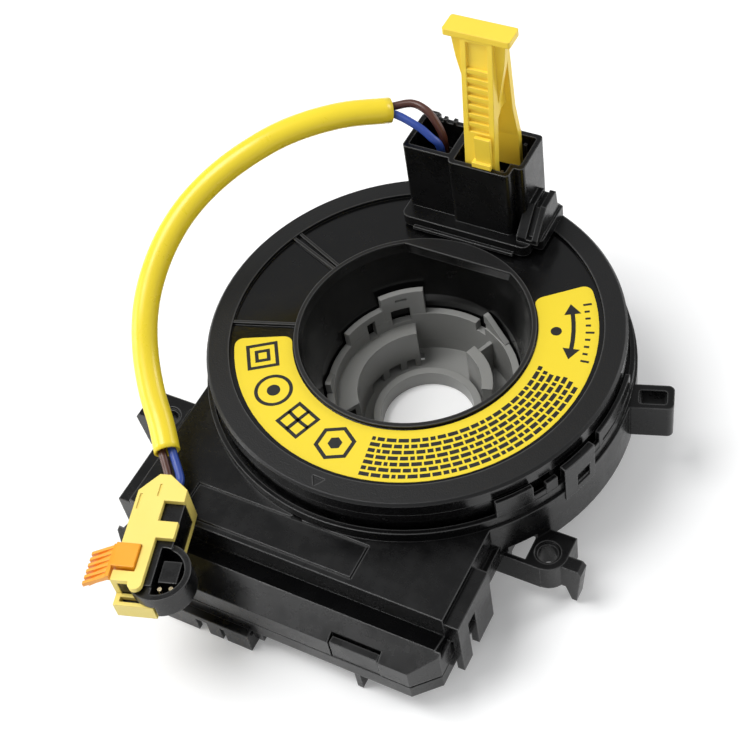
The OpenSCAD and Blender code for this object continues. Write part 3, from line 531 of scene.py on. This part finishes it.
# The cross inside the third square: inner and outer radius, first and last degree
PRINT_CROSS = [(32.8, 39.6, -112.2, -110.8), (35.75, 36.6, -117.0, -106.0)]

# Rows of strokes: their number, the first one's distance from the label's inner edge, their
# spacing and their height
ROWS = 7
ROW_FIRST = 2.3
ROW_STEP = 1.62
ROW_HEIGHT = 1.0
# Ends of the rows in degrees: where all start, where the first one's last stroke may start and
# how much sooner that is in each next row, and where all stop
ROW_FROM = -81.0
ROW_LAST = 0.5
ROW_SOONER = 0.4
ROW_TO = 1.5
# Strokes' shortest length, what the longest adds to it, and their gap, in degrees at this radius
STROKE = 1.3
STROKE_MORE = 2.4
STROKE_GAP = 0.75
STROKE_AT = 36
# How fast the lengths change from stroke to stroke and from row to row
STROKE_TURN = 3.7
ROW_TURN = 1.3

# The double arrow: radius, first and last degree of its line, its width, and its heads' length
# in degrees, with their half width as a share of that
ARROW = (37.4, 12.5, 28.5, 1.0, 4.8)
ARROW_HALF = 0.42

# The scale: number of ticks, the first one's degree, their step and half width in degrees,
# their inner radius, the outer radius of short and long ones, and how often a long one comes
TICKS = 9
TICK_FROM = 8
TICK_STEP = 3
TICK_HALF = 0.42
TICK_IN = 40.2
TICK_SHORT = 41.4
TICK_LONG = 42.2
TICK_EVERY = 4


def on_track(radius, degrees, z):
    """A point in metres on the rotor, from a radius, an angle and a height in millimetres."""
    turn = math.radians(degrees)
    return Vector((radius * math.cos(turn), radius * math.sin(turn), z)) * MM


def ring_patch(bm, r_in, r_out, start, stop, z):
    """A flat piece of a ring between two radii and two angles."""
    first = bm.verts.new(on_track(r_in, start, z))
    last = bm.verts.new(on_track(r_out, start, z))
    edge = bm.edges.new((first, last))
    steps = max(2, round(abs(stop - start) / 4))
    bmesh.ops.spin(bm, geom=[first, last, edge], cent=(0, 0, 0), axis=(0, 0, 1),
                   angle=math.radians(stop - start), steps=steps)


def thicken(bm, height):
    """Turns flat faces upwards and gives them a thickness."""
    bmesh.ops.recalc_face_normals(bm, faces=bm.faces)
    down = [f for f in bm.faces if f.normal.z < 0]
    bmesh.ops.reverse_faces(bm, faces=down)
    grown = bmesh.ops.extrude_face_region(bm, geom=bm.faces[:], use_keep_orig=True)
    moved = [v for v in grown["geom"] if isinstance(v, bmesh.types.BMVert)]
    bmesh.ops.translate(bm, verts=moved, vec=(0, 0, height * MM))
    bmesh.ops.recalc_face_normals(bm, faces=bm.faces)


def make_label():
    """Yellow film on the rotor's track, with rounded corners."""
    bm = bmesh.new()
    ring_patch(bm, LABEL_IN, LABEL_OUT, LABEL_FROM, LABEL_TO, LABEL_Z)
    corners = [v for v in bm.verts if len(v.link_edges) == 2]
    bmesh.ops.bevel(bm, geom=corners, offset=LABEL_CORNER * MM, affect="VERTICES", segments=6,
                    profile=0.5, material=-1)
    thicken(bm, LABEL_T)
    mesh = bpy.data.meshes.new("label_sheet")
    bm.to_mesh(mesh)
    bm.free()
    add_piece("label_sheet", mesh, "label_yellow", "rotor", ["label_film"])


def ink_shape(bm, radius, degrees, size, sides, line, spin):
    """A regular shape printed at a place on the track, as an outline or filled."""
    place = Matrix.Translation(on_track(radius, degrees, INK_Z))
    turn = Matrix.Rotation(math.radians(degrees + 90 + spin), 4, "Z")
    made = bmesh.ops.create_circle(bm, cap_ends=True, segments=sides, radius=size * MM,
                                   matrix=place @ turn)
    face = made["verts"][0].link_faces[0]
    if line:
        bmesh.ops.inset_region(bm, faces=[face], thickness=line * MM, use_even_offset=True,
                               use_boundary=True)
        bmesh.ops.delete(bm, geom=[face], context="FACES_ONLY")


def ink_rows(bm):
    """Rows of short plain strokes in the middle of the label."""
    for row in range(ROWS):
        radius = LABEL_IN + ROW_FIRST + row * ROW_STEP
        share = STROKE_AT / radius
        angle = ROW_FROM
        step = 0
        while angle < ROW_LAST - row * ROW_SOONER:
            more = STROKE_MORE * abs(math.sin(STROKE_TURN * step + ROW_TURN * row))
            stop = min(angle + (STROKE + more) * share, ROW_TO)
            ring_patch(bm, radius, radius + ROW_HEIGHT, angle, stop, INK_Z)
            angle = stop + STROKE_GAP * share
            step += 1


def ink_arrow(bm, radius, start, stop, width, head):
    """A curved line along the track with an arrowhead at each end."""
    ring_patch(bm, radius - width / 2, radius + width / 2, start, stop, INK_Z)
    half = head * ARROW_HALF
    for end, way in ((start, -1), (stop, 1)):
        tip = on_track(radius, end + way * head, INK_Z)
        outer = on_track(radius + half, end, INK_Z)
        inner = on_track(radius - half, end, INK_Z)
        bm.faces.new([bm.verts.new(p) for p in (tip, outer, inner)])


def make_label_print():
    """Generic print: plain shapes, rows of strokes, a turn arrow and a scale of ticks."""
    bm = bmesh.new()
    for shape in PRINT_SHAPES:
        ink_shape(bm, *shape)
    for bar in PRINT_CROSS:
        ring_patch(bm, *bar, INK_Z)
    ink_rows(bm)
    ink_arrow(bm, *ARROW)
    for tick in range(TICKS):
        angle = TICK_FROM + tick * TICK_STEP
        r_out = TICK_SHORT if tick % TICK_EVERY else TICK_LONG
        ring_patch(bm, TICK_IN, r_out, angle - TICK_HALF, angle + TICK_HALF, INK_Z)
    thicken(bm, INK_T)
    mesh = bpy.data.meshes.new("label_print")
    bm.to_mesh(mesh)
    bm.free()
    add_piece("label_print", mesh, "label_ink", "rotor")


set_camera()
set_world()
set_lights()
make_floor()
finish_nodes()
make_lead()
make_label()
make_label_print()
bpy.context.scene.view_settings.view_transform = "Standard"
